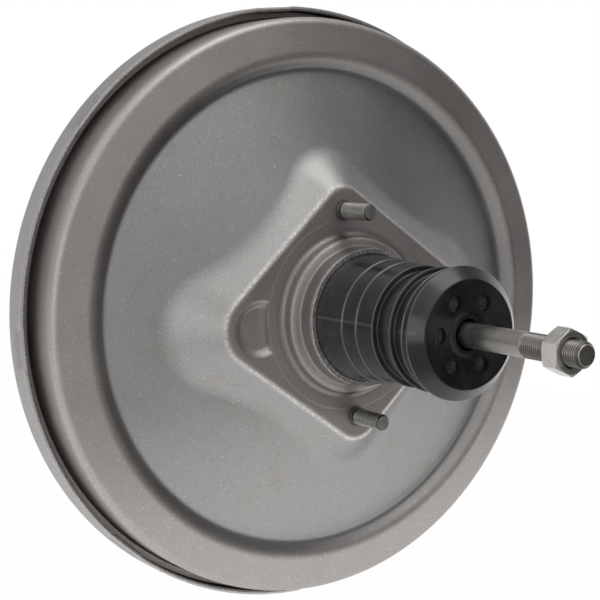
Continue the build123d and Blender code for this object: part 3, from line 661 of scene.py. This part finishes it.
def stud(name, crest, face_y, direction, length, head_radius, wall):
    """Headed stud with an undercut at the wall, a rolled thread and a chamfered tip."""
    tip = face_y + direction * length
    places = threaded_line(face_y + direction * 0.2, tip, STUD_THREAD / 8)
    head_back = wall + STUD_HEAD_HEIGHT
    profile = [
        (0, face_y - direction * head_back),
        (head_radius - 0.6, face_y - direction * head_back),
        (head_radius, face_y - direction * (head_back - 0.6)),
        (head_radius, face_y - direction * wall),
        (crest, face_y - direction * wall),
    ]
    start_row = len(profile)
    profile += [(crest, place) for place in places]
    profile += [(0, tip)]

    def shape(radius, y, angle, row):
        if start_row <= row < len(profile) - 1:
            along = abs(y - face_y)
            wound = thread_radius(crest, STUD_THREAD, y, angle)
            fade = smooth_step(STUD_BARE - 0.8, STUD_BARE + 0.8, along)
            radius = (crest - 0.45) * (1 - fade) + wound * fade
            if along < 0.6:
                radius = crest - 0.1
            radius = min(radius, crest - 0.9 + max(0.0, length - along))
        return radius, y, angle

    # Painted shade in the thread's roots.
    def thread_root_shade(place):
        outside = (place.y - face_y) * direction > 0.3
        depth = crest - math.hypot(place.x, place.z)
        return 0.92 * smooth_step(0.05, 0.35, depth) if outside and depth < 0.8 else 0.0

    return lathe(name, profile, 56, shape, closed=False, marks={"painted_shade": thread_root_shade})


def studs():
    for side, label in ((1, "upper"), (-1, "lower")):
        one = stud("firewall_stud_" + label, STUD_RADIUS, 0, -1, STUD_LENGTH, STUD_HEAD_RADIUS, WALL)
        move(one, z=side * STUD_PITCH)
        finished(one, "housing", stud_zinc, "zinc_steel", "firewall_studs")
    for side, label in ((1, "right"), (-1, "left")):
        one = stud("cylinder_stud_" + label, CYLINDER_STUD_RADIUS, SEAT_Y, 1, CYLINDER_STUD_LENGTH,
                   CYLINDER_STUD_HEAD_RADIUS, WALL + PLATE_WALL)
        move(one, x=side * CYLINDER_STUD_PITCH)
        finished(one, "housing", stud_zinc, "zinc_steel", "master_cylinder_studs")


# ---------------------------------------------------------------- pedal rod and nut
def pedal_rod():
    """Ball end, neck, turned shank and a threaded end with a chamfer."""
    ball = [
        (BALL_RADIUS * math.sin(math.radians(a)), BALL_Y + BALL_RADIUS * math.cos(math.radians(a)))
        for a in range(0, 142, 6)
    ]
    ball[0] = (0, BALL_Y + BALL_RADIUS)
    neck = [(4.0, -11.2), (4.0, -19.5), (SHANK_RADIUS, -21.0), (SHANK_RADIUS, -47.5)]
    shank = rounded(neck, [1.0, 1.0], 0.4)
    collar = [(SHANK_RADIUS, -47.5), (7.0, -47.5), (7.0, -48.5), (SHANK_RADIUS, -50.0)]
    bead = rounded(collar, [0.3, 0.4], 0.3)
    plain = divided([(SHANK_RADIUS, -50.0), (SHANK_RADIUS, -THREAD_START)], 6.0)
    places = threaded_line(-THREAD_START, -THREAD_END, ROD_THREAD / 8)
    profile = ball + shank + bead + plain
    start_row = len(profile)
    profile += [(ROD_RADIUS, place) for place in places] + [(0, -THREAD_END)]

    def shape(radius, y, angle, row):
        if start_row <= row < len(profile) - 1:
            along = -y - THREAD_START
            fade = smooth_step(0.0, 0.8, along)
            radius = SHANK_RADIUS * (1 - fade) + thread_radius(ROD_RADIUS, ROD_THREAD, y, angle) * fade
            radius = min(radius, ROD_RADIUS - 1.4 + max(0.0, THREAD_END + y))
        return radius, y, angle

    # Painted shade: the whole threaded end darker, and darker still in the thread's roots.
    def thread_root_shade(place):
        depth = ROD_RADIUS - math.hypot(place.x, place.z)
        if place.y > -THREAD_START or depth > 0.95:
            return 0.0
        return 0.25 + 0.6 * smooth_step(0.1, 0.55, depth)

    rod = lathe("pedal_push_rod", profile, 72, shape, closed=False, marks={"painted_shade": thread_root_shade})
    return finished(rod, "pedal_rod", rod_steel, "rod_steel", "push_rod")


def jam_nut():
    """Hexagon nut: chamfered corners and a countersunk bore."""
    segments = 144
    flat = NUT_FLATS / 2
    crown = flat - 0.2
    back, front = -NUT_START - NUT_HEIGHT, -NUT_START
    sink = 0.8
    bore = ROD_RADIUS + 0.12
    rows = [("bore", front - sink), ("sink", front), ("crown", front), ("corner", front)]
    rows += [("corner", back), ("crown", back), ("sink", back), ("bore", back + sink)]

    def shape(radius, y, angle, row):
        kind, place = rows[row]
        sector = (angle + math.pi / 6) % (math.pi / 3) - math.pi / 6
        hexagon = flat / math.cos(sector)
        if kind == "bore":
            return bore, place, angle
        if kind == "sink":
            return bore + sink, place, angle
        if kind == "crown":
            return min(crown, hexagon), place, angle
        drop = max(0.0, hexagon - crown) * math.tan(NUT_CHAMFER)
        return hexagon, place - drop if place == front else place + drop, angle

    nut = lathe("hex_jam_nut", [(bore, place) for _, place in rows], segments, shape)
    bevel = nut.modifiers.new("edge", "BEVEL")
    bevel.width = 0.25 * MM
    bevel.segments = 2
    bevel.limit_method = "ANGLE"
    bevel.angle_limit = math.radians(28)
    bpy.context.view_layer.objects.active = nut
    bpy.ops.object.modifier_apply(modifier=bevel.name)
    return finished(nut, "lock_nut", nut_zinc, "zinc_steel", "jam_nut")


# ---------------------------------------------------------------- boot
def boot_line():
    """Outside of the boot, from the bead in the neck to the hole for the rod."""
    outer = [(29.9, BOOT_BEAD_Y), (29.9, -16.4), (29.6, -17.1)]
    bends = [0.2, 0.4]
    for index, (distance, radius) in enumerate(BOOT_RIDGES):
        fold = 2.2 if index in DEEP_FOLDS else 0.0
        outer += [(radius, -distance), (radius - 0.55 - fold, -distance - 0.5)]
        bends += [0.15, 0.35 + 0.3 * (fold > 0)]
    outer += [(29.7, -BOOT_FRONT), (23.9, -90.4), (10.2, -89.0), (8.6, BOOT_FACE_Y), (ROD_HOLE, BOOT_FACE_Y)]
    bends += [0.9, 1.1, 1.4, 1.0]
    return rounded(outer, bends, 0.12)


def dust_boot():
    outer = divided(boot_line(), 0.6)
    inner = [(ROD_HOLE, BOOT_INSIDE_Y), (22.7, BOOT_INSIDE_Y), (26.7, -83.6), (25.6, -79.3)]
    inner += [(24.0, -69.8), (23.6, -56.6), (25.4, -44.8), (26.2, -35.0), (26.4, BOOT_BEAD_Y)]
    ridges = [distance for distance, _ in BOOT_RIDGES] + [BOOT_FRONT]

    def ridge_highlights_and_parting(place):
        """Painted highlights along the ridge edges, and the mould's parting line along the left side."""
        radius = math.hypot(place.x, place.z)
        if radius < 27.0 or place.y > -NECK_LENGTH:
            return 0.0
        # Painted highlight along each ridge's edge.
        ridge_highlight = max(math.exp(-((place.y + distance - 0.05) / 0.22) ** 2) for distance in ridges)
        side = math.degrees(math.atan2(place.z, place.x))
        parting = 0.3 if abs(side - PARTING_SIDE) < 1.0 else 0.0
        return max(0.8 * ridge_highlight, parting)

    boot = lathe("dust_boot", outer + inner, 300, marks={"marks_and_highlights": ridge_highlights_and_parting})
    for index in range(VENT_COUNT):
        angle = math.radians(VENT_TURN + index * 360 / VENT_COUNT)
        cut_round(boot, VENT_RADIUS, -93, -84, VENT_PITCH * math.cos(angle), VENT_PITCH * math.sin(angle))
    boot.data.set_sharp_from_angle(angle=math.radians(40))
    finished(boot, "housing", rubber, "black_rubber", "boot")
    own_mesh(boot)


# ---------------------------------------------------------------- springs and diaphragm, inside the housing
def coil(name, radius, wire, start, end, turns, x=0.0, z=0.0):
    """Compression spring about the Y axis: a round wire swept along a helix, with closed ends."""
    steps, sides = turns * 40, 10
    height = end - start - wire
    verts = []
    for step in range(steps + 1):
        angle = 2 * math.pi * turns * step / steps
        middle = start + wire / 2 + height * step / steps
        for side in range(sides):
            round_wire = 2 * math.pi * side / sides
            reach = radius + wire / 2 * math.cos(round_wire)
            verts.append((
                (x + reach * math.cos(angle)) * MM,
                (middle + wire / 2 * math.sin(round_wire)) * MM,
                (z + reach * math.sin(angle)) * MM,
            ))
    faces = [tuple(range(sides)), tuple(range(steps * sides, (steps + 1) * sides))]
    for step in range(steps):
        for side in range(sides):
            following = (side + 1) % sides
            low, high = step * sides, (step + 1) * sides
            faces.append((low + side, low + following, high + following, high + side))
    return mesh_object(name, verts, faces)


def springs():
    """Three coil springs, each attached to its body."""
    spring = finished(coil("main_return_spring", 29.5, 3.4, *RETURN_SPRING, 6), "power_piston", spring_steel,
                      "spring_steel", "return_spring")
    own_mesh(spring)
    spring = finished(coil("rod_return_spring", 13.0, 1.1, *ROD_SPRING, 5), "power_piston", spring_steel,
                      "spring_steel", "push_rod_spring")
    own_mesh(spring)
    spring = finished(coil("valve_disc_spring", 3.4, 0.6, *DISC_SPRING, 4, *VALVE_PLACE), "check_valve_body",
                      spring_steel, "spring_steel", "check_spring")
    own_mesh(spring)


def rolling_diaphragm():
    """Rubber on the support plate, its rolled loop and both beads."""
    line = [(26, 7), (40.3, 7), (41.3, 9.8), (46.8, 9.8), (127.3, 38.8), (127.3, 66.2), (132.5, 66.2)]
    line += [(132.5, 58.8), (139.4, 58.8)]
    outer = divided(rounded(line, [2.2, 1.0, 6.0, 5.0, 2.6, 2.6, 3.0], 0.6), 2.0)
    clamped_bead = [(139.4, 57.1), (145.3, 57.1), (145.3, 59.0), (141.8, 62.4), (139.4, 62.4)]
    hub_bead = [(20.9, 9.0), (20.9, 4.6), (26, 4.6)]
    rubber = lathe("rolling_diaphragm", outer + clamped_bead + offset(outer, WALL)[::-1] + hub_bead, 160)
    rubber.data.materials.append(diaphragm_rubber)
    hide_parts("diaphragm")
    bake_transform(rubber)


# ---------------------------------------------------------------- carried-over CAD nodes
def dress_cad_nodes():
    looks = {
        "shell_steel": steel,
        "zinc_steel": nut_zinc,
        "plain_steel": plated_steel("plain_steel", (0.36, 0.35, 0.34), (0.50, 0.49, 0.47), 0.36),
        "spring_steel": spring_steel,
        "rod_steel": rod_steel,
        "black_rubber": rubber,
        "diaphragm_rubber": diaphragm_rubber,
        "black_plastic": moulded_plastic("black_plastic", (0.016, 0.016, 0.017), (0.03, 0.03, 0.03), 0.38),
        "hub_plastic": moulded_plastic("hub_plastic", (0.22, 0.13, 0.06), (0.33, 0.21, 0.11), 0.45),
        "guide_plastic": moulded_plastic("guide_plastic", (0.55, 0.54, 0.48), (0.66, 0.65, 0.6), 0.4),
        "filter_foam": foam(),
    }
    for part in frame["record"]["subparts"]:
        node = frame["nodes"][part["node"]]
        node.data.materials.clear()
        node.data.materials.append(looks[part["material_slot"]])


# ---------------------------------------------------------------- studio
def look_at(lamp, target):
    direction = Vector(target) - lamp.location
    lamp.rotation_euler = direction.to_track_quat("-Z", "Y").to_euler()


def softbox(name, place, target, width, height, power):
    data = bpy.data.lights.new(name, "AREA")
    data.shape = "RECTANGLE"
    data.size = width
    data.size_y = height
    data.energy = power
    lamp = bpy.data.objects.new(name, data)
    lamp.location = place
    bpy.context.scene.collection.objects.link(lamp)
    look_at(lamp, target)


def studio_world():
    """White backdrop behind the object; the room on the pedal side is dimmer, and darkest to the right."""
    world = bpy.data.worlds.new("studio")
    bpy.context.scene.world = world
    world.use_nodes = True
    tree = world.node_tree
    background = tree.nodes["Background"]
    direction = tree.nodes.new("ShaderNodeTexCoord").outputs["Generated"]
    height = tree.nodes.new("ShaderNodeSeparateXYZ")
    tree.links.new(direction, height.inputs["Vector"])

    def towards(axis):
        node = tree.nodes.new("ShaderNodeVectorMath")
        node.operation = "DOT_PRODUCT"
        node.inputs[1].default_value = axis
        tree.links.new(direction, node.inputs[0])
        return node.outputs["Value"]

    def ranged(value, low, high, first, last):
        node = tree.nodes.new("ShaderNodeMapRange")
        node.interpolation_type = "SMOOTHSTEP"
        node.inputs["From Min"].default_value = low
        node.inputs["From Max"].default_value = high
        node.inputs["To Min"].default_value = first
        node.inputs["To Max"].default_value = last
        tree.links.new(value, node.inputs["Value"])
        return node.outputs["Result"]

    def mixed(share, first, second):
        node = tree.nodes.new("ShaderNodeMix")
        for key, value in (("Factor", share), ("A", first), ("B", second)):
            socket = node.inputs[key]
            if isinstance(value, (int, float)):
                socket.default_value = value
            else:
                tree.links.new(value, socket)
        return node.outputs["Result"]

    room = ranged(height.outputs["Z"], -0.1, 0.9, ROOM_LEVEL, ROOM_TOP)
    room = mixed(ranged(towards(DARK_SIDE), 0.45, 0.88, 0.0, 1.0), room, DARK_LEVEL)
    backdrop = ranged(height.outputs["Z"], 0.1, 0.6, 1.0, BACKDROP_TOP)
    seen = mixed(ranged(towards(BACKDROP_DIRECTION), 0.15, 0.6, 0.0, 1.0), room, backdrop)
    path = tree.nodes.new("ShaderNodeLightPath")
    final = mixed(path.outputs["Is Camera Ray"], seen, 1.0)
    tree.links.new(final, background.inputs["Color"])
    background.inputs["Strength"].default_value = 1.0


def studio_floor():
    """Large white sheet under the object, which keeps a faint shadow."""
    left, right, front, back = FLOOR_EDGES
    level = cad_box[0][2] - 0.002
    mesh = bpy.data.meshes.new("floor")
    corners = [(left, front, level), (right, front, level), (right, back, level), (left, back, level)]
    mesh.from_pydata(corners, [], [(0, 1, 2, 3)])
    floor = bpy.data.objects.new("floor", mesh)
    bpy.context.scene.collection.objects.link(floor)
    material = bpy.data.materials.new("white_floor")
    material.use_nodes = True
    tree = material.node_tree
    shader = tree.nodes["Principled BSDF"]
    shader.inputs["Base Color"].default_value = (0.86, 0.86, 0.86, 1)
    shader.inputs["Roughness"].default_value = 0.9
    glow = tree.nodes.new("ShaderNodeEmission")
    path = tree.nodes.new("ShaderNodeLightPath")
    share = tree.nodes.new("ShaderNodeMath")
    share.operation = "MULTIPLY"
    share.inputs[1].default_value = FLOOR_WHITE
    mix = tree.nodes.new("ShaderNodeMixShader")
    seen = tree.nodes.new("ShaderNodeMath")
    seen.operation = "MAXIMUM"
    tree.links.new(path.outputs["Is Camera Ray"], seen.inputs[0])
    tree.links.new(path.outputs["Is Glossy Ray"], seen.inputs[1])
    tree.links.new(seen.outputs["Value"], share.inputs[0])
    tree.links.new(share.outputs["Value"], mix.inputs["Fac"])
    tree.links.new(shader.outputs["BSDF"], mix.inputs[1])
    tree.links.new(glow.outputs["Emission"], mix.inputs[2])
    tree.links.new(mix.outputs["Shader"], tree.nodes["Material Output"].inputs["Surface"])
    mesh.materials.append(material)


def camera():
    data = bpy.data.cameras.new("camera")
    data.lens = CAMERA_LENS
    data.sensor_width = CAMERA_SENSOR
    view = bpy.data.objects.new("camera", data)
    right = Vector(CAMERA_RIGHT)
    up = Vector(CAMERA_UP)
    back = right.cross(up)
    view.matrix_world = Matrix((
        (right.x, up.x, back.x, CAMERA_PLACE[0]),
        (right.y, up.y, back.y, CAMERA_PLACE[1]),
        (right.z, up.z, back.z, CAMERA_PLACE[2]),
        (0, 0, 0, 1),
    ))
    bpy.context.scene.collection.objects.link(view)
    bpy.context.scene.camera = view


# ---------------------------------------------------------------- scene
BACKDROP_DIRECTION = (0.527, 0.836, 0.0)
BACKDROP_TOP = 0.45
DARK_SIDE = (0.95, -0.31, 0.05)
DARK_LEVEL = 0.02
ROOM_LEVEL = 0.41
ROOM_TOP = 0.85
FLOOR_WHITE = 0.98
FLOOR_EDGES = (-1.6, 0.40, -0.14, 4.0)      # left, right, front, back
CAMERA_LENS = 95.66
CAMERA_SENSOR = 36.0
CAMERA_PLACE = (-0.4201, -0.6220, 0.1229)
CAMERA_RIGHT = (0.83863, -0.54075, -0.06555)
CAMERA_UP = (0.13639, 0.09195, 0.98638)

bpy.context.scene.view_settings.view_transform = "Standard"
steel = blasted_steel()
stud_zinc = plated_steel("stud_zinc", (0.32, 0.31, 0.29), (0.50, 0.485, 0.46), 0.46, 1500, 0.5)
nut_zinc = plated_steel("nut_zinc", (0.58, 0.56, 0.53), (0.72, 0.705, 0.68), 0.32, 1200, 0.35)
spring_steel = plated_steel("spring_steel", (0.16, 0.16, 0.17), (0.28, 0.28, 0.29), 0.34)
diaphragm_rubber = moulded_plastic("diaphragm_rubber", (0.018, 0.018, 0.018), (0.035, 0.034, 0.033), 0.6)
rod_steel = turned_steel()
rubber = black_rubber()

dress_cad_nodes()
rear_shell()
front_shell()
studs()
pedal_rod()
jam_nut()
dust_boot()
springs()
rolling_diaphragm()

studio_world()
studio_floor()
camera()
softbox("left_box", place=(-1.5, -0.9, 0.25), target=(0, 0, 0), width=0.8, height=1.0, power=3.5)
softbox("top_box", place=(0.3, -0.5, 1.7), target=(0, 0, 0), width=1.2, height=0.8, power=6)

bpy.context.view_layer.update()
